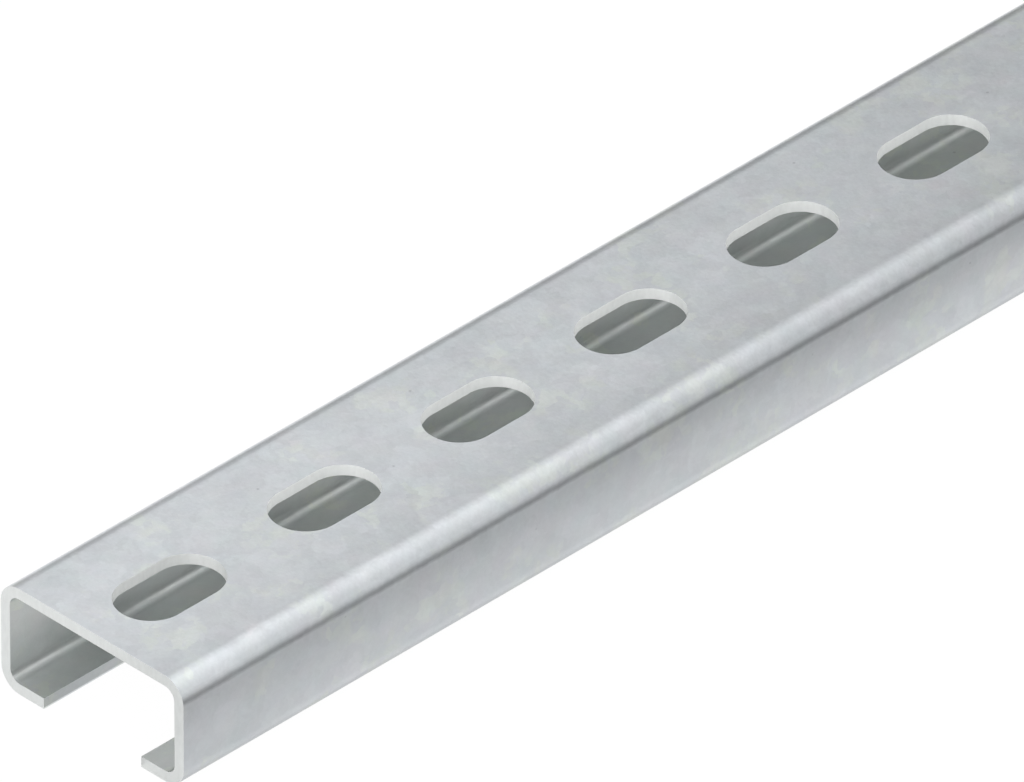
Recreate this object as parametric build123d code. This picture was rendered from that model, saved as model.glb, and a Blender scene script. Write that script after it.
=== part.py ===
"""Slotted C-section mounting rail, 30 x 15 x 1.5 mm, in a 300 mm cut length.

One strip of galvanised steel is punched along its middle, rolled into a C and cut
to length. It is one solid, in one node.

Frame, in millimetres: +X runs along the rail, +Y across it and +Z up. The rail
stands on its two lips with its mouth down and its slotted web on top. The origin
is in the plane of the lips' undersides, half way along the rail and across it.
"""

import os

from build123d import *

# Rolled section
section_width = 30.0
section_height = 15.0
sheet_thickness = 1.5
mouth_width = 16.0
inside_bend_radius = 1.5

# Slots punched in the web, each with its long side along the rail
slot_length = 15.0
slot_width = 9.0
slot_pitch = 25.0
slot_count = 12

# Worked out from the sizes above
outside_bend_radius = inside_bend_radius + sheet_thickness
rail_length = slot_count * slot_pitch  # each end is cut midway between two slots


def rolled_outline():
    """The outside of the C, from one lip's edge round to the other's, with its four bends."""
    half_width = section_width / 2
    half_mouth = mouth_width / 2
    return FilletPolyline(
        (half_mouth, 0),
        (half_width, 0),
        (half_width, section_height),
        (-half_width, section_height),
        (-half_width, 0),
        (-half_mouth, 0),
        radius=outside_bend_radius,
    )


def rolled_section():
    """The C as a face on the YZ plane: its outside outline, thickened inwards by the sheet."""
    strip = offset(rolled_outline(), amount=sheet_thickness, side=Side.LEFT)
    return Plane.YZ * make_face(strip)


def plain_rail():
    """The section along the whole rail, half of it to each side of the origin."""
    return extrude(rolled_section(), amount=rail_length / 2, both=True)


def slot_punches():
    """One punch for each slot, through the web and a little past both of its faces."""
    clearance = sheet_thickness
    below_web = Plane.XY.offset(section_height - sheet_thickness - clearance)
    outline = below_web * SlotOverall(slot_length, slot_width)
    punch = extrude(outline, amount=sheet_thickness + 2 * clearance)
    return [place * punch for place in GridLocations(slot_pitch, 0, slot_count, 1)]


def slotted_rail():
    """The finished rail."""
    return plain_rail() - slot_punches()


os.makedirs("parts", exist_ok=True)
strut_channel = slotted_rail()
strut_channel.label = "strut_channel"
export_step(strut_channel, "parts/strut_channel.step")
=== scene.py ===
"""A slotted C-section mounting rail of strip-galvanised steel, on a pale studio floor.

The rail is formed as the real one is: a flat strip with punched slots is rolled
round its four bends, given the thickness of the sheet and dressed in zinc.
All sizes are in metres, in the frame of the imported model: +X along the rail,
+Y across it and +Z up, with the floor at zero.
"""

import logging
import math
from collections.abc import Callable
from dataclasses import dataclass
from enum import Enum

import bmesh
import bpy
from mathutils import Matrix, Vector


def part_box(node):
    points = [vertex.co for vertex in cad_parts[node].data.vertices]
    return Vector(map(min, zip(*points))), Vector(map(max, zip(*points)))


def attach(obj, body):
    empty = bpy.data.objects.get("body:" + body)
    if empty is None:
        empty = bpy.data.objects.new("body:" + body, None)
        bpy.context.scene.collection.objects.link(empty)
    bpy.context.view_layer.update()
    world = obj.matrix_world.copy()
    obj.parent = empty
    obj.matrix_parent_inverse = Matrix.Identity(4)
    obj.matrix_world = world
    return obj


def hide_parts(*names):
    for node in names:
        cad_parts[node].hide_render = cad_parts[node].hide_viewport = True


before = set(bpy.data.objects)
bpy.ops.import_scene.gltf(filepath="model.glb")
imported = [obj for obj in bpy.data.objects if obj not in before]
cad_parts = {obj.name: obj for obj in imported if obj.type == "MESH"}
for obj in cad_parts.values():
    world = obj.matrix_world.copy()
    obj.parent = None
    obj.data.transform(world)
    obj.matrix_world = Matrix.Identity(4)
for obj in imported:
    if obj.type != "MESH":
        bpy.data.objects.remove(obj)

LOG = logging.getLogger("mounting_rail")
MM = 0.001
# Places closer together than this count as one.
TOUCH = 0.01 * MM
NODE = "strut_channel"


class Side(Enum):
    """The two long sides of the rail, by the sign of Y."""

    LEFT = 1
    RIGHT = -1


class Face(Enum):
    """The kinds of surface on the rail, by the number of their material slot."""

    SKIN = 0
    INSIDE = 1
    SLIT = 2
    PUNCHED = 3
    SAWN = 4


class Joint(Enum):
    """How a row of greys is joined up, by Blender's name for it."""

    EASED = "EASE"
    ROUNDED = "B_SPLINE"


# ---------------------------------------------------------------- helpers


def select_none() -> None:
    """Deselects every object."""
    bpy.ops.object.select_all(action="DESELECT")


def pick_object(piece: bpy.types.Object) -> None:
    """Makes a piece active, and the only one selected.

    Args:
        piece: The object to work on.
    """
    select_none()
    bpy.context.view_layer.objects.active = piece
    piece.select_set(True)


def edit(piece: bpy.types.Object) -> None:
    """Opens a piece in edit mode, with nothing selected.

    Args:
        piece: The mesh object to shape.
    """
    pick_object(piece)
    bpy.ops.object.mode_set(mode="EDIT")
    bpy.ops.mesh.select_mode(type="EDGE")
    bpy.ops.mesh.select_all(action="DESELECT")


def leave_edit() -> None:
    """Goes back to object mode."""
    bpy.ops.object.mode_set(mode="OBJECT")


def pick_vertices(piece: bpy.types.Object, test: Callable[[Vector], bool]) -> None:
    """Selects the vertices of a piece in edit mode whose place passes a test.

    Args:
        piece: The mesh object being edited.
        test: Says of a vertex's place whether it is wanted.
    """
    bpy.ops.mesh.select_mode(type="VERT")
    mesh = bmesh.from_edit_mesh(piece.data)
    for vertex in mesh.verts:
        vertex.select_set(test(vertex.co))
    mesh.select_flush_mode()
    bmesh.update_edit_mesh(piece.data)


def pick_edges(piece: bpy.types.Object, test: Callable[[bmesh.types.BMEdge], bool]) -> None:
    """Selects the edges of a piece in edit mode that pass a test.

    Args:
        piece: The mesh object being edited.
        test: Says of an edge whether it is wanted.
    """
    bpy.ops.mesh.select_mode(type="EDGE")
    bpy.ops.mesh.select_all(action="DESELECT")
    mesh = bmesh.from_edit_mesh(piece.data)
    for edge in [edge for edge in mesh.edges if test(edge)]:
        edge.select_set(True)
    bmesh.update_edit_mesh(piece.data)


def apply_modifier(piece: bpy.types.Object, kind: str, **settings: object) -> None:
    """Adds a modifier to a piece and applies it.

    Args:
        piece: The mesh object, in object mode.
        kind: The modifier's type, such as SOLIDIFY.
        **settings: Values for the modifier's own properties.
    """
    pick_object(piece)
    modifier = piece.modifiers.new(kind.lower(), kind)
    for name, value in settings.items():
        setattr(modifier, name, value)
    bpy.ops.object.modifier_apply(modifier=modifier.name)


# ---------------------------------------------------------------- the rail


@dataclass
class MountingRail:
    """The rail, formed from one punched strip.

    Attributes:
        length: Length of the cut piece.
        width: Outside width of the section.
        height: Outside height of the section.
        sheet: Thickness of the strip.
        mouth: Clear width between the two lips.
        bend: Outside radius of each bend.
        slot_length: Length of a slot, end to end.
        slot_width: Width of a slot.
        slot_pitch: Distance from one slot to the next.
        slot_rim: Width of the ring of faces round a slot.
        slot_steps: Straight steps round one slot's edge.
        bend_steps: Straight steps round one bend.
        edge_break: How far sheared and punched edges are rounded.
        edge_steps: Straight steps round one such edge.
        edge_angle: Turn past which an edge is a sheared or punched one, in degrees.
        shade_angle: Turn up to which two faces are shaded as one surface, in degrees.
        wall_slope: How far the normal of a slot's wall may point up or down.
        slack: How far past a line a face may lie and still be sorted by it.
    """

    length: float
    width: float
    height: float
    sheet: float = 1.5 * MM
    mouth: float = 16 * MM
    bend: float = 3 * MM
    slot_length: float = 15 * MM
    slot_width: float = 9 * MM
    slot_pitch: float = 25 * MM
    slot_rim: float = 0.5 * MM
    slot_steps: int = 64
    bend_steps: int = 8
    edge_break: float = 0.012 * MM
    edge_steps: int = 2
    edge_angle: float = 60.0
    shade_angle: float = 50.0
    wall_slope: float = 0.6
    slack: float = 0.05 * MM

    @property
    def slot_count(self) -> int:
        """The number of slots in the rail."""
        return round(self.length / self.slot_pitch)

    @property
    def web_half(self) -> float:
        """From the middle of the web to where its bends begin."""
        return self.width / 2 - self.bend

    def build(self) -> bpy.types.Object:
        """Forms the rail and dresses it.

        Returns:
            The finished mesh object.
        """
        strip = self.punched_cell()
        self.repeat_along(strip)
        for side in Side:
            self.roll(strip, side)
        self.weld(strip)
        self.thicken(strip)
        self.break_edges(strip)
        self.sort_faces(strip)
        self.smooth(strip)
        self.dress(strip)
        return strip

    def punched_cell(self) -> bpy.types.Object:
        """Makes the flat web round the first slot, one pitch long.

        Returns:
            The cell, a flat sheet with a slot through it.
        """
        centre = Vector(((self.slot_pitch - self.length) / 2, 0, self.height))
        select_none()
        bpy.ops.mesh.primitive_plane_add(size=1, location=centre)
        cell = bpy.context.object
        cell.name = "mounting_rail"
        edit(cell)
        bpy.ops.mesh.select_all(action="SELECT")
        bpy.ops.transform.resize(value=(self.slot_pitch, 2 * self.web_half, 1))
        bpy.ops.mesh.delete(type="ONLY_FACE")
        bpy.ops.mesh.select_all(action="SELECT")
        bpy.ops.mesh.subdivide(number_cuts=self.slot_steps // 4 - 1)
        self.punch(cell, centre)
        leave_edit()
        bpy.ops.object.transform_apply()
        return cell

    def punch(self, cell: bpy.types.Object, centre: Vector) -> None:
        """Fills the border of the cell with a sheet that has a slot through its middle.

        A circle becomes a ring, whose halves are pulled apart along the rail. The ring
        is lifted while it is bridged to the border, and then pressed flat.

        Args:
            cell: The cell, in edit mode, with its border only.
            centre: The middle of the cell.
        """
        half_step = math.pi / self.slot_steps
        radius = self.slot_width / 2
        rim = radius + self.slot_rim
        bpy.ops.mesh.select_all(action="DESELECT")
        bpy.ops.mesh.primitive_circle_add(
            vertices=self.slot_steps,
            radius=radius / math.cos(half_step),
            location=centre,
            rotation=(0, 0, half_step),
        )
        bpy.ops.mesh.extrude_region_move()
        bpy.ops.transform.resize(
            value=(rim / radius, rim / radius, 1), center_override=centre
        )
        apart = (self.slot_length - self.slot_width) / 2
        reach = rim / math.cos(half_step) + TOUCH
        lift = self.slot_width
        for way in (1, -1):
            pick_vertices(
                cell,
                lambda place: place.x * way > 0 and math.hypot(place.x, place.y) < reach,
            )
            bpy.ops.transform.translate(value=(way * apart, 0, 0))
        pick_vertices(cell, lambda place: math.hypot(max(abs(place.x) - apart, 0), place.y) < reach)
        bpy.ops.transform.translate(value=(0, 0, lift))

        def outside(vertex: bmesh.types.BMVert) -> bool:
            """Whether a vertex is on the rim or the border, not on the slot."""
            past = max(abs(vertex.co.x) - apart, 0)
            return math.hypot(past, vertex.co.y) > radius + self.slot_rim / 2

        pick_edges(cell, lambda edge: all(outside(vertex) for vertex in edge.verts))
        bpy.ops.mesh.bridge_edge_loops()
        bpy.ops.mesh.select_all(action="SELECT")
        bpy.ops.transform.resize(value=(1, 1, 0), center_override=centre)

    def repeat_along(self, strip: bpy.types.Object) -> None:
        """Repeats the cell along the rail, each copy joined to the last.

        Args:
            strip: The cell.
        """
        apply_modifier(
            strip,
            "ARRAY",
            count=self.slot_count,
            use_relative_offset=False,
            use_constant_offset=True,
            constant_offset_displace=(self.slot_pitch, 0, 0),
            use_merge_vertices=True,
            merge_threshold=TOUCH,
        )

    def roll(self, strip: bpy.types.Object, side: Side) -> None:
        """Rolls one side of the strip round its upper bend, down the flange and in to the lip.

        Args:
            strip: The sheet so far, with no thickness.
            side: The side to roll.
        """
        sign = side.value
        edge_y = sign * self.web_half
        edit(strip)
        pick_edges(strip, lambda edge: all(abs(v.co.y - edge_y) < TOUCH for v in edge.verts))
        self.turn(edge_y, self.height - self.bend, sign)
        bpy.ops.mesh.extrude_region_move(
            TRANSFORM_OT_translate={"value": (0, 0, 2 * self.bend - self.height)}
        )
        self.turn(edge_y, self.bend, sign)
        inward = self.web_half - self.mouth / 2
        bpy.ops.mesh.extrude_region_move(TRANSFORM_OT_translate={"value": (0, -sign * inward, 0)})
        leave_edit()

    def turn(self, y: float, z: float, way: int) -> None:
        """Spins the selected edge a quarter turn about a line along the rail.

        Args:
            y: Place of the line across the rail.
            z: Height of the line.
            way: 1 to turn from +Z towards +Y, -1 to turn from +Z towards -Y.
        """
        bpy.ops.mesh.spin(
            steps=self.bend_steps,
            angle=way * math.pi / 2,
            center=(0, y, z),
            axis=(1, 0, 0),
        )

    def weld(self, strip: bpy.types.Object) -> None:
        """Merges doubled vertices and turns every face outwards.

        Args:
            strip: The rolled sheet, with no thickness.
        """
        edit(strip)
        bpy.ops.mesh.select_all(action="SELECT")
        bpy.ops.mesh.remove_doubles(threshold=TOUCH)
        bpy.ops.mesh.normals_make_consistent(inside=False)
        leave_edit()
        top = max(strip.data.polygons, key=lambda face: face.center.z)
        if top.normal.z < 0:
            edit(strip)
            bpy.ops.mesh.select_all(action="SELECT")
            bpy.ops.mesh.flip_normals()
            leave_edit()

    def thicken(self, strip: bpy.types.Object) -> None:
        """Gives the sheet its thickness, inwards from its outside faces.

        Args:
            strip: The rolled sheet, with its faces outwards.
        """
        apply_modifier(
            strip,
            "SOLIDIFY",
            thickness=self.sheet,
            offset=-1,
            use_even_offset=True,
            use_quality_normals=True,
        )

    def break_edges(self, strip: bpy.types.Object) -> None:
        """Rounds the punched, sheared and sawn edges a little.

        Args:
            strip: The rail, with square edges.
        """
        apply_modifier(
            strip,
            "BEVEL",
            width=self.edge_break,
            segments=self.edge_steps,
            limit_method="ANGLE",
            angle_limit=math.radians(self.edge_angle),
        )

    def sort_faces(self, strip: bpy.types.Object) -> None:
        """Gives each face the material slot of its kind of surface.

        Args:
            strip: The rail, in its final shape.
        """
        for face in strip.data.polygons:
            face.material_index = self.kind_of(face).value

    def kind_of(self, face: bpy.types.MeshPolygon) -> Face:
        """Tells what kind of surface a face of the finished rail is.

        Args:
            face: The face.

        Returns:
            Its kind, from its place and the way that it faces.
        """
        place, normal = face.center, face.normal
        if abs(place.x) > self.length / 2 - TOUCH:
            return Face.SAWN
        within_web = place.z > self.height - self.sheet - self.slack
        reach = (self.slot_width + self.sheet) / 2
        if within_web and abs(normal.z) < self.wall_slope and abs(place.y) < reach:
            return Face.PUNCHED
        if abs(place.y) < self.mouth / 2 + TOUCH and place.z < self.sheet:
            return Face.SLIT
        floor, ceiling = self.sheet - self.slack, self.height - self.sheet + self.slack
        if abs(place.y) < self.width / 2 - self.sheet + self.slack and floor < place.z < ceiling:
            return Face.INSIDE
        return Face.SKIN

    def smooth(self, strip: bpy.types.Object) -> None:
        """Shades the bends smooth and keeps the flat faces flat.

        Blender leaves faces as small as these out of the weighting where a unit is a
        metre, so that is done with the mesh in millimetres.

        Args:
            strip: The rail, in its final shape.
        """
        pick_object(strip)
        bpy.ops.object.shade_smooth_by_angle(angle=math.radians(self.shade_angle))
        self.resize(strip, 1 / MM)
        apply_modifier(strip, "WEIGHTED_NORMAL", keep_sharp=True, weight=100)
        self.resize(strip, MM)

    def resize(self, strip: bpy.types.Object, factor: float) -> None:
        """Scales the selected rail's mesh about the origin."""
        strip.scale = (factor, factor, factor)
        bpy.ops.object.transform_apply(location=False, rotation=False, scale=True)

    def dress(self, strip: bpy.types.Object) -> None:
        """Puts the finish of each kind of surface in its material slot.

        Args:
            strip: The rail, with its faces sorted.
        """
        for kind in Face:
            strip.data.materials.append(FINISHES[kind].material())


# ---------------------------------------------------------------- finishes


class NodeBench:
    """Adds nodes to a node tree and wires them."""

    def __init__(self, tree: bpy.types.NodeTree) -> None:
        """Clears the tree and keeps it to work on."""
        self.tree = tree
        tree.nodes.clear()

    @classmethod
    def for_material(cls, name: str) -> tuple[bpy.types.Material, "NodeBench"]:
        """Makes a material and opens a bench on its nodes.

        Args:
            name: Name of the material.

        Returns:
            The new material and its bench.
        """
        material = bpy.data.materials.new(name)
        material.use_nodes = True
        return material, cls(material.node_tree)

    @classmethod
    def for_group(
        cls,
        name: str,
        takes: tuple[str, ...],
        gives: tuple[str, ...],
        colours: tuple[str, ...] = (),
    ) -> "NodeBench":
        """Makes a shader node group and opens a bench on its nodes.

        Args:
            name: Name of the group.
            takes: Names of the numbers that it takes.
            gives: Names of the numbers that it gives.
            colours: Names of the colours that it gives.

        Returns:
            The bench of the new group.
        """
        tree = bpy.data.node_groups.new(name, "ShaderNodeTree")
        for way, kind, sockets in (
            ("INPUT", "NodeSocketFloat", takes),
            ("OUTPUT", "NodeSocketFloat", gives),
            ("OUTPUT", "NodeSocketColor", colours),
        ):
            for socket in sockets:
                tree.interface.new_socket(socket, in_out=way, socket_type=kind)
        return cls(tree)

    def add(self, kind: str, inputs: dict | None = None, **settings: object) -> bpy.types.Node:
        """Adds one node.

        Args:
            kind: The node's type, such as ShaderNodeMath.
            inputs: Values or sockets for its inputs, by name or number.
            **settings: Values for the node's own properties.

        Returns:
            The new node.
        """
        node = self.tree.nodes.new(kind)
        for name, value in settings.items():
            setattr(node, name, value)
        for key, value in (inputs or {}).items():
            if isinstance(value, bpy.types.NodeSocket):
                self.tree.links.new(value, node.inputs[key])
            else:
                node.inputs[key].default_value = value
        return node

    def math(self, operation: str, *values: object) -> bpy.types.NodeSocket:
        """Adds a Math node.

        Args:
            operation: What it does, such as MULTIPLY.
            *values: Its numbers or sockets, in order.

        Returns:
            The result's socket.
        """
        return self.add("ShaderNodeMath", dict(enumerate(values)), operation=operation).outputs[0]

    def vector(self, operation: str, inputs: dict) -> bpy.types.NodeSocket:
        """Adds a Vector Math node, with its inputs by name or number, and gives its result."""
        return self.add("ShaderNodeVectorMath", inputs, operation=operation).outputs[0]

    def spread(self, value: object, low: float, high: float) -> bpy.types.NodeSocket:
        """Maps a value from 0 to 1 onto a range.

        Args:
            value: The socket that runs from 0 to 1.
            low: What 0 becomes.
            high: What 1 becomes.

        Returns:
            The result's socket.
        """
        return self.math("MULTIPLY_ADD", value, high - low, low)

    def fade(
        self,
        value: bpy.types.NodeSocket,
        start: float,
        end: float,
        before: float = 0.0,
        after: float = 1.0,
        smooth: bool = False,
    ) -> bpy.types.NodeSocket:
        """Changes from one level to another while a value goes from a start to an end.

        Args:
            value: The value's socket.
            start: The value at which the change starts.
            end: The value at which it ends, which may be the lower one.
            before: The level before it.
            after: The level past it.
            smooth: Whether the change is gentle at both ends, and not straight.

        Returns:
            The level's socket.
        """
        levels = {0: value, 1: start, 2: end, 3: before, 4: after}
        kind = "SMOOTHSTEP" if smooth else "LINEAR"
        return self.add("ShaderNodeMapRange", levels, interpolation_type=kind).outputs[0]

    def place(self) -> bpy.types.NodeSocket:
        """Gives the place on the piece, in metres."""
        return self.add("ShaderNodeTexCoord").outputs["Object"]

    def fine_place(self, tall: float = 1.0) -> bpy.types.NodeSocket:
        """Gives the place on the piece, in millimetres.

        Args:
            tall: What its height is multiplied by. Below 1, it draws patterns out upwards.

        Returns:
            The place's socket.
        """
        scale = (1 / MM, 1 / MM, tall / MM)
        return self.add("ShaderNodeMapping", {"Vector": self.place(), "Scale": scale}).outputs[0]

    def axes(self, vector: bpy.types.NodeSocket) -> bpy.types.NodeOutputs:
        """Splits a vector into X, Y and Z."""
        return self.add("ShaderNodeSeparateXYZ", {0: vector}).outputs

    def hues(self, colour: bpy.types.NodeSocket) -> bpy.types.NodeOutputs:
        """Splits a colour into Red, Green and Blue."""
        return self.add("ShaderNodeSeparateColor", {0: colour}).outputs

    def blend(self, share: bpy.types.NodeSocket, one: object, other: object) -> bpy.types.NodeSocket:
        """Mixes two colours.

        Args:
            share: How much of the second there is.
            one: The first colour, or its socket.
            other: The second colour.

        Returns:
            The mixed colour's socket.
        """
        inputs = {0: share, 6: one, 7: other}
        return self.add("ShaderNodeMix", inputs, data_type="RGBA").outputs[2]

    def curve(
        self,
        value: bpy.types.NodeSocket,
        points: tuple[tuple[float, float], ...],
        joint: Joint,
    ) -> bpy.types.NodeSocket:
        """Turns a value into a grey that runs smoothly through given points.

        Args:
            value: The value that the grey follows.
            points: Values in rising order, with the grey at each.
            joint: How the greys are joined up.

        Returns:
            The grey's socket.
        """
        first, last = points[0][0], points[-1][0]
        ramp = self.add("ShaderNodeValToRGB", {0: self.fade(value, first, last)})
        stops = ramp.color_ramp.elements
        ramp.color_ramp.interpolation = joint.value
        while len(stops) < len(points):
            stops.new(0.5)
        for stop, (position, level) in zip(stops, points, strict=True):
            stop.position = (position - first) / (last - first)
            stop.color = (level, level, level, 1)
        return ramp.outputs[0]


@dataclass(frozen=True)
class Noise:
    """A soft random pattern.

    Attributes:
        scale: How many of its lumps there are in a millimetre.
        detail: How many finer layers it has.
    """

    scale: float
    detail: float

    def add(self, bench: NodeBench, place: bpy.types.NodeSocket) -> bpy.types.NodeOutputs:
        """Adds the pattern.

        Args:
            bench: The bench to add it on.
            place: The place to read it at, in millimetres.

        Returns:
            Its value as Fac, and three such values as Color.
        """
        inputs = {"Vector": place, "Scale": self.scale, "Detail": self.detail}
        return bench.add("ShaderNodeTexNoise", inputs).outputs


@dataclass(frozen=True)
class TintedPatches:
    """Which small crystal patches have a tint.

    Attributes:
        own: How much a patch's own random value counts beside that of its region.
        first: The sum above which it has the tint.
        full: The sum above which it has it in full.
    """

    own: float
    first: float
    full: float

    def add(
        self,
        bench: NodeBench,
        patch: bpy.types.NodeSocket,
        region: bpy.types.NodeSocket,
        veil: bpy.types.NodeSocket,
    ) -> bpy.types.NodeSocket:
        """Adds the strength of the tint.

        Args:
            bench: The bench to add it on.
            patch: The patch's own random value.
            region: The random value of its region.
            veil: How strongly the tint shows from place to place.

        Returns:
            The strength, from 0 to 1.
        """
        total = bench.math("MULTIPLY_ADD", patch, self.own, region)
        return bench.math("MULTIPLY", bench.fade(total, self.first, self.full), veil)


@dataclass(frozen=True)
class ZincFlowers:
    """The faint crystal pattern of a zinc coat, as a node group that the finishes share.

    Attributes:
        name: Name of the node group.
        flower: Size of a large crystal patch, in millimetres.
        grain: Size of a small one, in millimetres.
        blur: How soft the patches' borders are, from 0 to 1.
        wander: The noise that bends their borders.
        drift: How far it moves them, in millimetres.
        noises: Grain, specks and cloud in the tone.
        shares: Part of large patches, small ones, grain, specks and cloud in the tone.
        bright: How much lighter the few brightest patches and the yellowish ones are.
        brightest: Random values above which a large patch is brighter, and brightest.
        regions: The noise of the regions that have more tinted patches than others.
        warm: Which patches are yellowish.
        rosy: Which patches are pinkish.
        veil: Two values of the wander noise, and the tints' strength at each.
        calm: How strong the tone is below the web, where the rolls have pressed harder.
        calm_heights: Heights, in millimetres, between which it gets its full strength.
        cast: How far red, green and blue stray from place to place.
        stray: The noise that they follow.
        gloss: Part of large patches, small ones and grain in the gloss.
        pit_places: How many places for a pit there are in a millimetre.
        pit_radii: Radius of a pit's floor and of its rim, in parts of that spacing.
        pit_misses: Part of the places that have no pit.
        ripple: The noise of the coat's long waves.
        waves: How much higher they are than its tooth.
        tooth: The noise of its fine relief.
    """

    name: str = "zinc_flowers"
    flower: float = 4.0
    grain: float = 1.3
    blur: float = 0.12
    wander: Noise = Noise(0.5, 4.0)
    drift: float = 3.0
    noises: tuple[Noise, Noise, Noise] = (Noise(1.6, 4.0), Noise(2.1, 2.0), Noise(0.08, 3.0))
    shares: tuple[float, float, float, float, float] = (0.24, 0.42, 0.78, 0.62, 0.90)
    bright: float = 0.20
    brightest: tuple[float, float] = (0.78, 0.92)
    regions: Noise = Noise(0.15, 2.0)
    warm: TintedPatches = TintedPatches(0.16, 0.65, 0.74)
    rosy: TintedPatches = TintedPatches(0.10, 0.74, 0.82)
    veil: tuple[float, float, float, float] = (0.3, 0.6, 0.5, 1.0)
    calm: float = 0.72
    calm_heights: tuple[float, float] = (11.5, 14.0)
    cast: tuple[float, float, float] = (0.080, 0.062, 0.020)
    stray: Noise = Noise(0.30, 4.0)
    gloss: tuple[float, float, float] = (0.4, 0.3, 0.3)
    pit_places: float = 0.42
    pit_radii: tuple[float, float] = (0.05, 0.10)
    pit_misses: float = 0.93
    ripple: Noise = Noise(0.22, 1.0)
    waves: float = 3.5
    tooth: Noise = Noise(2.2, 3.0)

    def group(self) -> bpy.types.NodeTree:
        """Builds the group once, or finds it.

        Returns:
            The node group. It takes the Contrast of the flowers and the Depth of the
            pits' shade. Its Tone and Cast are spread round 1, its Warm, Rosy and Gloss
            run from 0 to 1, and its Relief is a height.
        """
        found = bpy.data.node_groups.get(self.name)
        if found:
            return found
        bench = NodeBench.for_group(
            self.name,
            takes=("Contrast", "Depth"),
            gives=("Tone", "Warm", "Rosy", "Gloss", "Relief"),
            colours=("Cast",),
        )
        given = bench.add("NodeGroupInput").outputs
        place = bench.fine_place()
        wander = self.wander.add(bench, place)
        drift = (self.drift, self.drift, self.drift)
        bent = bench.vector("MULTIPLY_ADD", {0: wander["Color"], 1: drift, 2: place})
        large = self.crystals(bench, bent, self.flower)
        small = self.crystals(bench, bent, self.grain)
        noises = [noise.add(bench, place)["Fac"] for noise in self.noises]
        veil = bench.fade(wander["Fac"], *self.veil)
        region = bench.hues(self.regions.add(bench, place)["Color"])
        warm = self.warm.add(bench, small["Green"], region["Green"], veil)
        tone = self.mixed(bench, (large["Red"], small["Red"], *noises), self.shares)
        for light in (bench.fade(large["Red"], *self.brightest), warm):
            tone = bench.math("MULTIPLY_ADD", light, self.bright, tone)
        calm = bench.fade(bench.axes(place)["Z"], *self.calm_heights, before=self.calm)
        tone = bench.math("MULTIPLY", tone, calm)
        tone = bench.math("MULTIPLY_ADD", tone, given["Contrast"], 1.0)
        pitted = bench.math("MULTIPLY", self.pits(bench, place), given["Depth"])
        ripple = self.ripple.add(bench, place)["Fac"]
        tooth = self.tooth.add(bench, place)["Fac"]
        gloss = (large["Blue"], small["Blue"], noises[0])
        white = tuple(1 - part / 2 for part in self.cast)
        stray = self.stray.add(bench, place)["Color"]
        bench.add(
            "NodeGroupOutput",
            {
                "Tone": bench.math("SUBTRACT", tone, pitted),
                "Warm": warm,
                "Rosy": self.rosy.add(bench, small["Green"], region["Blue"], veil),
                "Gloss": self.mixed(bench, gloss, self.gloss, middle=0.5),
                "Relief": bench.math("MULTIPLY_ADD", ripple, self.waves, tooth),
                "Cast": bench.vector("MULTIPLY_ADD", {0: stray, 1: self.cast, 2: white}),
            },
        )
        return bench.tree

    def crystals(
        self, bench: NodeBench, place: bpy.types.NodeSocket, size: float
    ) -> bpy.types.NodeOutputs:
        """Adds one scale of crystal patches, with soft borders.

        Args:
            bench: The bench of the group.
            place: The place to read the pattern at.
            size: Size of a patch, in millimetres.

        Returns:
            Three random values for each patch, as Red, Green and Blue.
        """
        cells = bench.add(
            "ShaderNodeTexVoronoi",
            {"Vector": place, "Scale": 1 / size, "Smoothness": self.blur},
            feature="SMOOTH_F1",
        )
        return bench.hues(cells.outputs["Color"])

    def mixed(
        self,
        bench: NodeBench,
        patterns: tuple[bpy.types.NodeSocket, ...],
        shares: tuple[float, ...],
        middle: float = 0.0,
    ) -> bpy.types.NodeSocket:
        """Adds up patterns that run from 0 to 1.

        Args:
            bench: The bench of the group.
            patterns: The patterns.
            shares: The part of each.
            middle: What the sum is where each of them is half way.

        Returns:
            The sum.
        """
        total = middle - sum(shares) / 2
        for pattern, share in zip(patterns, shares, strict=True):
            total = bench.math("MULTIPLY_ADD", pattern, share, total)
        return total

    def pits(self, bench: NodeBench, place: bpy.types.NodeSocket) -> bpy.types.NodeSocket:
        """Adds the few dark pits in the coat.

        Args:
            bench: The bench of the group.
            place: The place to read the pattern at.

        Returns:
            1 in a pit and 0 elsewhere.
        """
        spots = bench.add("ShaderNodeTexVoronoi", {"Vector": place, "Scale": self.pit_places})
        inner, outer = self.pit_radii
        round_pit = bench.fade(spots.outputs["Distance"], inner, outer, before=1.0, after=0.0)
        luck = bench.hues(spots.outputs["Color"])["Red"]
        rare = bench.math("GREATER_THAN", luck, self.pit_misses)
        return bench.math("MULTIPLY", round_pit, rare)


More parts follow.
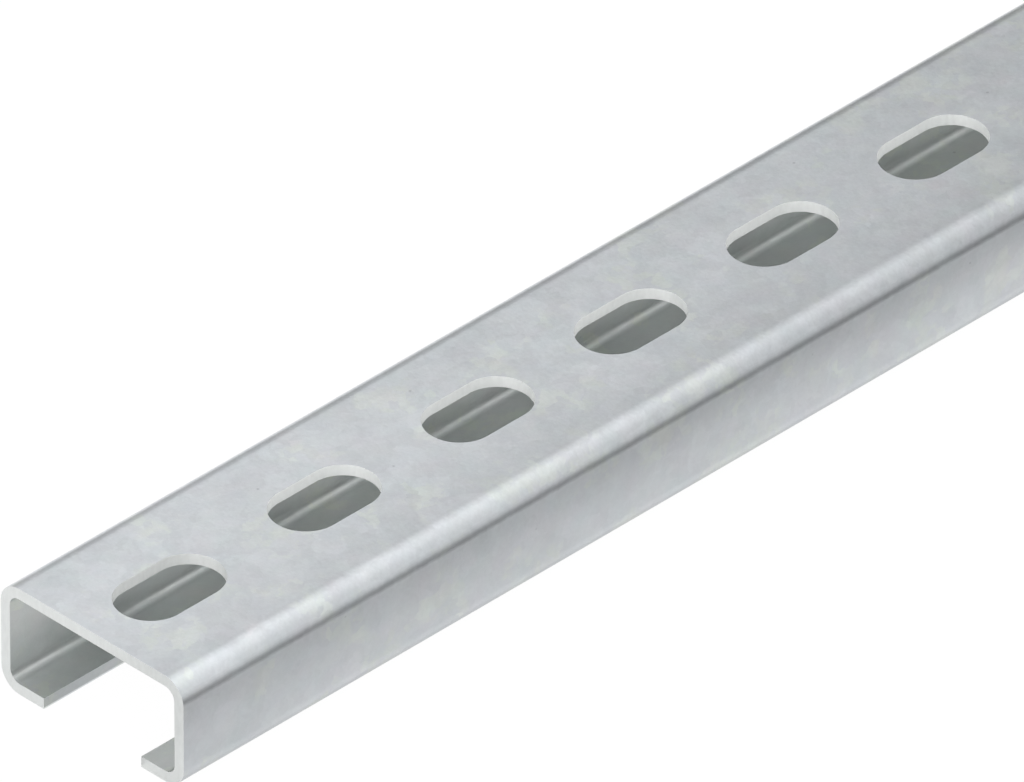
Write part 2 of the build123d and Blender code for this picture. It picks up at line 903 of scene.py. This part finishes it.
@dataclass(frozen=True)
class PaintedBendLight:
    """Painted shade and painted highlights beside the bends and across the web, standing in for the
    bands that reflections make there, as a node group.

    Attributes:
        name: Name of the node group.
        across: Places across the web, in millimetres of Y, with the shade at each.
        down: Heights on the flanges, in millimetres of Z, with the shade at each.
        wobble: The noise that the lines follow.
        sway: How far apart it takes them, in millimetres.
    """

    name: str = "painted_bend_light"
    across: tuple[tuple[float, float], ...] = (
        (-13.30, 1.00),
        (-12.70, 0.93),
        (-12.30, 0.87),
        (-11.50, 0.90),
        (-7.00, 0.95),
        (-2.00, 1.00),
        (11.60, 1.00),
        (12.10, 0.97),
        (12.50, 0.84),
        (12.90, 0.79),
        (13.20, 0.91),
        (13.60, 1.20),
    )
    down: tuple[tuple[float, float], ...] = (
        (11.50, 1.00),
        (12.02, 1.015),
        (12.25, 0.86),
        (12.50, 0.63),
        (12.70, 0.575),
        (12.90, 0.65),
        (13.10, 0.80),
        (13.35, 0.93),
        (13.60, 1.00),
    )
    wobble: Noise = Noise(0.6, 3.0)
    sway: float = 0.3

    def group(self) -> bpy.types.NodeTree:
        """Builds the group once, or finds it.

        Returns:
            The node group. It takes the Sway of the lines, in millimetres, and its
            Shade is 1 where nothing is painted, below 1 for painted shade and above 1 for painted
            highlight.
        """
        found = bpy.data.node_groups.get(self.name)
        if found:
            return found
        bench = NodeBench.for_group(self.name, takes=("Sway",), gives=("Shade",))
        sway = bench.add("NodeGroupInput").outputs["Sway"]
        place = bench.fine_place()
        wobble = bench.math("SUBTRACT", self.wobble.add(bench, place)["Fac"], 0.5)
        parts = bench.axes(place)
        shades = [
            bench.curve(bench.math("MULTIPLY_ADD", wobble, sway, parts[axis]), points, Joint.EASED)
            for axis, points in (("Y", self.across), ("Z", self.down))
        ]
        bench.add("NodeGroupOutput", {"Shade": bench.math("MULTIPLY", *shades)})
        return bench.tree


@dataclass(frozen=True)
class ZincSkin:
    """A face of the coated strip: dull zinc with faint flowers.

    Attributes:
        name: Name of the material.
        colour: Colour of the zinc.
        warm: What its red, green and blue are multiplied by in a yellowish patch.
        rosy: The same in a pinkish patch.
        contrast: How strongly the flowers' tone shows.
        pits: How much darker a pit is.
        roughness: Lowest and highest roughness.
        relief: Depth of the fine relief, in metres.
        metallic: How much of the surface is metal, and not dull white oxide.
        painted_light: The shade and highlights painted beside its bends.
    """

    name: str = "zinc_skin"
    colour: tuple[float, float, float] = (0.549, 0.572, 0.592)
    warm: tuple[float, float, float] = (1.034, 1.042, 0.984)
    rosy: tuple[float, float, float] = (1.05, 1.02, 1.025)
    contrast: float = 0.145
    pits: float = 0.22
    roughness: tuple[float, float] = (0.29, 0.41)
    relief: float = 0.015 * MM
    metallic: float = 1.0
    painted_light: PaintedBendLight = PaintedBendLight()

    def tinted(self, factors: tuple[float, ...] = (1, 1, 1)) -> tuple[float, ...]:
        """Gives the zinc's colour with its red, green and blue multiplied."""
        return (*(part * factor for part, factor in zip(self.colour, factors, strict=True)), 1)

    def material(self) -> bpy.types.Material:
        """Builds the material.

        Returns:
            The new material.
        """
        material, bench = NodeBench.for_material(self.name)
        flowers = bench.add(
            "ShaderNodeGroup",
            {"Contrast": self.contrast, "Depth": self.pits},
            node_tree=ZincFlowers().group(),
        ).outputs
        painted_light = bench.add(
            "ShaderNodeGroup", {"Sway": self.painted_light.sway}, node_tree=self.painted_light.group()
        ).outputs
        colour = bench.blend(flowers["Warm"], self.tinted(), self.tinted(self.warm))
        colour = bench.blend(flowers["Rosy"], colour, self.tinted(self.rosy))
        colour = bench.vector("MULTIPLY", {0: colour, 1: flowers["Cast"]})
        # Painted shade and highlights beside the bends darken or lighten the zinc's tone here.
        tone = bench.math("MULTIPLY", flowers["Tone"], painted_light["Shade"])
        relief = {"Height": flowers["Relief"], "Distance": self.relief}
        shader = bench.add(
            "ShaderNodeBsdfPrincipled",
            {
                "Base Color": bench.vector("SCALE", {0: colour, "Scale": tone}),
                "Metallic": self.metallic,
                "Roughness": bench.spread(flowers["Gloss"], *self.roughness),
                "Normal": bench.add("ShaderNodeBump", relief).outputs[0],
            },
        )
        bench.add("ShaderNodeOutputMaterial", {"Surface": shader.outputs[0]})
        return material


@dataclass(frozen=True)
class CutSteel:
    """The bare edge left by the punch or the saw.

    Attributes:
        name: Name of the material.
        colour: Colour of the steel.
        metallic: How much of the surface is clean metal, and not torn and dull.
        contrast: How much lighter the lightest streak is than the middle one.
        roughness: Lowest and highest roughness.
        streaks: The noise of the streaks that the tool leaves.
        draw: Their width over their height.
        painted_shade_run: Places along the rail, in millimetres of X, between which the painted
        shade of the edge rises to 1, and the painted shade before them. None where it is 1
        throughout.
    """

    name: str
    colour: tuple[float, float, float]
    metallic: float
    contrast: float = 0.10
    roughness: tuple[float, float] = (0.38, 0.52)
    streaks: Noise = Noise(1.6, 4.0)
    draw: float = 0.4
    painted_shade_run: tuple[float, float, float] | None = None

    def material(self) -> bpy.types.Material:
        """Builds the material.

        Returns:
            The new material.
        """
        material, bench = NodeBench.for_material(self.name)
        place = bench.fine_place(tall=self.draw)
        streaks = self.streaks.add(bench, place)["Fac"]
        tone = bench.spread(streaks, 1 - self.contrast, 1 + self.contrast)
        # Painted shade: the walls nearest -X are darkened before the run's places.
        if self.painted_shade_run:
            tone = bench.math("MULTIPLY", tone, bench.fade(bench.axes(place)["X"], *self.painted_shade_run))
        shader = bench.add(
            "ShaderNodeBsdfPrincipled",
            {
                "Base Color": bench.vector("SCALE", {0: self.colour, "Scale": tone}),
                "Metallic": self.metallic,
                "Roughness": bench.spread(streaks, *self.roughness),
            },
        )
        bench.add("ShaderNodeOutputMaterial", {"Surface": shader.outputs[0]})
        return material


# Painted light for the inside and the slit edges: painted highlights along the inner bends, painted
# shade over the -Y lip, and the inner flanges darker low down and lighter towards the top.
PAINTED_INSIDE_LIGHT = PaintedBendLight(
    name="painted_inside_light",
    across=(
        (-13.15, 1.00),
        (-12.85, 1.16),
        (-12.60, 1.16),
        (-12.20, 0.84),
        (-8.00, 0.84),
        (-6.00, 1.00),
        (12.20, 1.00),
        (12.60, 1.16),
        (12.85, 1.16),
        (13.15, 1.00),
    ),
    down=((4.5, 0.95), (6.5, 0.96), (8.0, 1.00), (10.0, 1.08)),
)

FINISHES = {
    Face.SKIN: ZincSkin(),
    # The inside's colour is painted lighter than the skin's, making up for the dimmer light inside
    # the channel.
    Face.INSIDE: ZincSkin(
        name="zinc_inside_painted_lighter",
        colour=(0.733, 0.756, 0.750),
        contrast=0.10,
        roughness=(0.34, 0.44),
        metallic=0.96,
        painted_light=PAINTED_INSIDE_LIGHT,
    ),
    Face.SLIT: ZincSkin(
        name="slit_edge", colour=(0.675, 0.705, 0.715), contrast=0.12, painted_light=PAINTED_INSIDE_LIGHT
    ),
    # The walls of the slot nearest -X get painted shade.
    Face.PUNCHED: CutSteel(
        name="punched_edge", colour=(0.950, 0.970, 0.960), metallic=0.20, painted_shade_run=(-132, -118, 0.80)
    ),
    Face.SAWN: CutSteel(name="sawn_end", colour=(0.715, 0.735, 0.727), metallic=0.45),
}


# ---------------------------------------------------------------- studio


@dataclass(frozen=True)
class PaleFloor:
    """The white floor. What looks at it sees white with a faint shadow of the rail.

    Attributes:
        size: Length of its side.
        shadow_share: How much of the floor's look comes from the light that falls on it.
        glow: Strength of the rest, where 1 is white.
        albedo: How much of the light on it the floor gives back.
    """

    size: float = 60.0
    shadow_share: float = 0.06
    glow: float = 1.04
    albedo: float = 0.55

    def build(self) -> bpy.types.Object:
        """Lays the floor.

        Returns:
            The floor.
        """
        select_none()
        bpy.ops.mesh.primitive_plane_add(size=self.size)
        floor = bpy.context.object
        floor.name = "floor"
        material, bench = NodeBench.for_material("pale_floor")
        path = bench.add("ShaderNodeLightPath").outputs
        seen = bench.math("MAXIMUM", path["Is Camera Ray"], path["Is Glossy Ray"])
        seen = bench.math("MAXIMUM", seen, path["Is Transmission Ray"])
        grey = (self.albedo, self.albedo, self.albedo, 1)
        lit = bench.add("ShaderNodeBsdfDiffuse", {"Color": grey}).outputs[0]
        glow = bench.add("ShaderNodeEmission", {"Strength": self.glow}).outputs[0]
        share = bench.math("MULTIPLY", seen, 1 - self.shadow_share)
        mixed = bench.add("ShaderNodeMixShader", {0: share, 1: lit, 2: glow}).outputs[0]
        bench.add("ShaderNodeOutputMaterial", {"Surface": mixed})
        floor.data.materials.append(material)
        return floor


@dataclass(frozen=True)
class LightTent:
    """A half-round tunnel of glowing cloth along the rail, which no camera sees.

    Attributes:
        radius: Radius of the tunnel.
        length: Length of the tunnel.
        arch: Brightness round the arch, from the +Y foot at 0 to the -Y foot at 1.
        run: Brightness along the tunnel: two places along X, then the level at each.
        dip: What all but its +Y shoulder loses besides: two places along X, then the share lost.
        shoulder: Where that shoulder begins, is whole, begins to end and ends, along Y.
        steps: Straight steps of the whole circle.
    """

    radius: float = 0.5
    length: float = 3.0
    arch: tuple[tuple[float, float], ...] = (
        (0.0, 0.66),
        (0.10, 0.70),
        (0.25, 1.11),
        (0.34, 1.16),
        (0.44, 1.49),
        (0.56, 1.60),
        (0.68, 1.34),
        (0.80, 1.10),
        (1.0, 1.04),
    )
    run: tuple[float, float, float, float] = (0.12, 0.44, 1.14, 0.58)
    dip: tuple[float, float, float] = (0.22, 0.36, 0.14)
    shoulder: tuple[float, float, float, float] = (0.10, 0.30, 0.42, 0.48)
    steps: int = 96

    def build(self) -> bpy.types.Object:
        """Raises the tent, which the camera does not see.

        Returns:
            The tent.
        """
        select_none()
        bpy.ops.mesh.primitive_cylinder_add(
            vertices=self.steps,
            radius=self.radius,
            depth=self.length,
            end_fill_type="NOTHING",
            rotation=(0, math.pi / 2, 0),
        )
        tent = bpy.context.object
        tent.name = "light_tent"
        bpy.ops.object.transform_apply()
        edit(tent)
        pick_vertices(tent, lambda place: place.z < -MM)
        bpy.ops.mesh.delete(type="VERT")
        leave_edit()
        tent.data.materials.append(self.material())
        tent.visible_camera = False
        return tent

    def material(self) -> bpy.types.Material:
        """Builds the glow of the cloth.

        Returns:
            The new material.
        """
        material, bench = NodeBench.for_material("tent_cloth")
        parts = bench.axes(bench.place())
        turn = bench.math("DIVIDE", bench.math("ARCTAN2", parts["Z"], parts["Y"]), math.pi)
        # A row of greys goes no higher than 1, so the peak is in the strength.
        peak = max(level for _, level in self.arch)
        points = tuple((where, level / peak) for where, level in self.arch)
        low, high, near, far = self.run
        along = bench.fade(parts["X"], low, high, near * peak, far * peak, smooth=True)
        first, last, lost = self.dip
        dip = bench.fade(parts["X"], first, last, after=lost)
        begins, whole, wanes, ends = self.shoulder
        below = bench.fade(parts["Y"], whole, begins)
        above = bench.fade(parts["Y"], wanes, ends)
        aside = bench.math("MAXIMUM", below, above)
        kept = bench.math("SUBTRACT", 1.0, bench.math("MULTIPLY", dip, aside))
        glow = bench.add(
            "ShaderNodeEmission",
            {
                "Color": bench.curve(turn, points, Joint.ROUNDED),
                "Strength": bench.math("MULTIPLY", along, kept),
            },
        )
        bench.add("ShaderNodeOutputMaterial", {"Surface": glow.outputs[0]})
        return material


@dataclass(frozen=True)
class FloorFlag:
    """A grey card on the floor beside the rail, which only its reflections show.

    Attributes:
        name: Name of the card.
        near: Edge of the card nearest the rail's middle, along Y.
        far: The other edge.
        levels: Brightness at the two ends of its run, where 1 is white.
        run: Where along X, at the middle of the rail, the brightness starts and stops changing.
        lean: How far the run moves along X for each metre to either side.
        length: Length of the card.
        height: Height above the floor.
    """

    name: str
    near: float
    far: float
    levels: tuple[float, float]
    run: tuple[float, float] = (-0.20, 0.11)
    lean: float = 0.70
    length: float = 2.0
    height: float = 0.2 * MM

    def build(self) -> bpy.types.Object:
        """Lays the card, which only reflections see.

        Returns:
            The card.
        """
        select_none()
        bpy.ops.mesh.primitive_plane_add(
            size=1, location=(0, (self.near + self.far) / 2, self.height)
        )
        card = bpy.context.object
        card.name = self.name
        card.scale = (self.length, abs(self.far - self.near), 1)
        bpy.ops.object.transform_apply()
        material, bench = NodeBench.for_material(self.name)
        parts = bench.axes(bench.place())
        aside = bench.math("MULTIPLY", bench.math("ABSOLUTE", parts["Y"]), -self.lean)
        place = bench.math("ADD", parts["X"], aside)
        along = bench.fade(place, *self.run, *self.levels, smooth=True)
        glow = bench.add("ShaderNodeEmission", {"Strength": along})
        bench.add("ShaderNodeOutputMaterial", {"Surface": glow.outputs[0]})
        card.data.materials.append(material)
        card.visible_camera = False
        card.visible_diffuse = False
        card.visible_shadow = False
        return card


@dataclass(frozen=True)
class StudioRoom:
    """The even light of the room round the tent.

    Attributes:
        level: Brightness, where 1 is white.
    """

    level: float = 1.0

    def build(self) -> bpy.types.World:
        """Makes the world.

        Returns:
            The new world, set on the scene.
        """
        world = bpy.data.worlds.new("studio_room")
        world.use_nodes = True
        bench = NodeBench(world.node_tree)
        light = bench.add(
            "ShaderNodeBackground", {"Color": (1, 1, 1, 1), "Strength": self.level}
        )
        bench.add("ShaderNodeOutputWorld", {"Surface": light.outputs[0]})
        bpy.context.scene.world = world
        return world


@dataclass(frozen=True)
class LongLens:
    """A camera far off with a long lens, so that parallel edges stay parallel.

    Attributes:
        azimuth: Bearing of the view, in degrees: 0 looks along +Y and 90 along -X.
        elevation: Height of the camera above the horizon, in degrees.
        distance: From the camera to its target.
        focal: Focal length, in millimetres.
        target: The place in the middle of the picture.
        sensor: Width of the sensor, in millimetres.
        clip: Nearest and farthest distance that it sees.
    """

    azimuth: float = -44.8753
    elevation: float = 35.3657
    distance: float = 4.29305
    focal: float = 1300.0
    target: tuple[float, float, float] = (-0.0746719, 0.0073265, 0.0075)
    sensor: float = 36.0
    clip: tuple[float, float] = (0.1, 100.0)

    def build(self) -> bpy.types.Object:
        """Places the camera and makes it the scene's.

        Returns:
            The camera.
        """
        bearing, height = math.radians(self.azimuth), math.radians(self.elevation)
        back = Vector(
            (
                math.sin(bearing) * math.cos(height),
                -math.cos(bearing) * math.cos(height),
                math.sin(height),
            )
        )
        data = bpy.data.cameras.new("camera")
        data.lens = self.focal
        data.sensor_width = self.sensor
        data.clip_start, data.clip_end = self.clip
        camera = bpy.data.objects.new("camera", data)
        camera.location = Vector(self.target) + back * self.distance
        camera.rotation_mode = "QUATERNION"
        camera.rotation_quaternion = back.to_track_quat("Z", "Y")
        bpy.context.scene.collection.objects.link(camera)
        bpy.context.scene.camera = camera
        return camera


FLAGS = (
    # Painted contact shadow: a dark card under the lower bend, which only reflections show, stands
    # in for the floor's shade there.
    FloorFlag("painted_contact_shadow", near=-10 * MM, far=-15 * MM, levels=(0.84, 0.84)),
    FloorFlag("flag_toe", near=-15 * MM, far=-17.5 * MM, levels=(0.99, 1.11)),
    FloorFlag("flag_foot", near=-17.5 * MM, far=-25 * MM, levels=(0.90, 1.03), run=(-0.14, 0.05)),
    FloorFlag("flag_right", near=-25 * MM, far=-52 * MM, levels=(0.55, 0.447), run=(-0.16, -0.07)),
    FloorFlag("flag_far_right", near=-52 * MM, far=-490 * MM, levels=(1.10, 0.62)),
    FloorFlag("flag_left", near=72 * MM, far=250 * MM, levels=(1.14, 0.50)),
    # Painted shadow: a dark card under the rail, which only reflections show, stands in for the
    # floor's shade there.
    FloorFlag(
        "painted_shadow_under",
        near=-8 * MM,
        far=8 * MM,
        levels=(0.56, 0.67),
        run=(-0.160, -0.135),
        length=0.34,
    ),
)


def main() -> None:
    """Builds the stage and the rail."""
    logging.basicConfig(level=logging.INFO, format="%(name)s: %(message)s")
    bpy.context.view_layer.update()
    bpy.context.scene.view_settings.view_transform = "Standard"

    for fitting in (LongLens(), PaleFloor(), StudioRoom(), LightTent(), *FLAGS):
        LOG.info("%s: part of the studio", fitting.build().name)

    low, high = (Vector(corner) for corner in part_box(NODE))
    size = high - low
    shape = MountingRail(length=size.x, width=size.y, height=size.z)
    rail = shape.build()
    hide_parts(NODE)
    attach(rail, "root")
    LOG.info("%s: %d slots, %d faces", rail.name, shape.slot_count, len(rail.data.polygons))


if __name__ == "__main__":
    main()
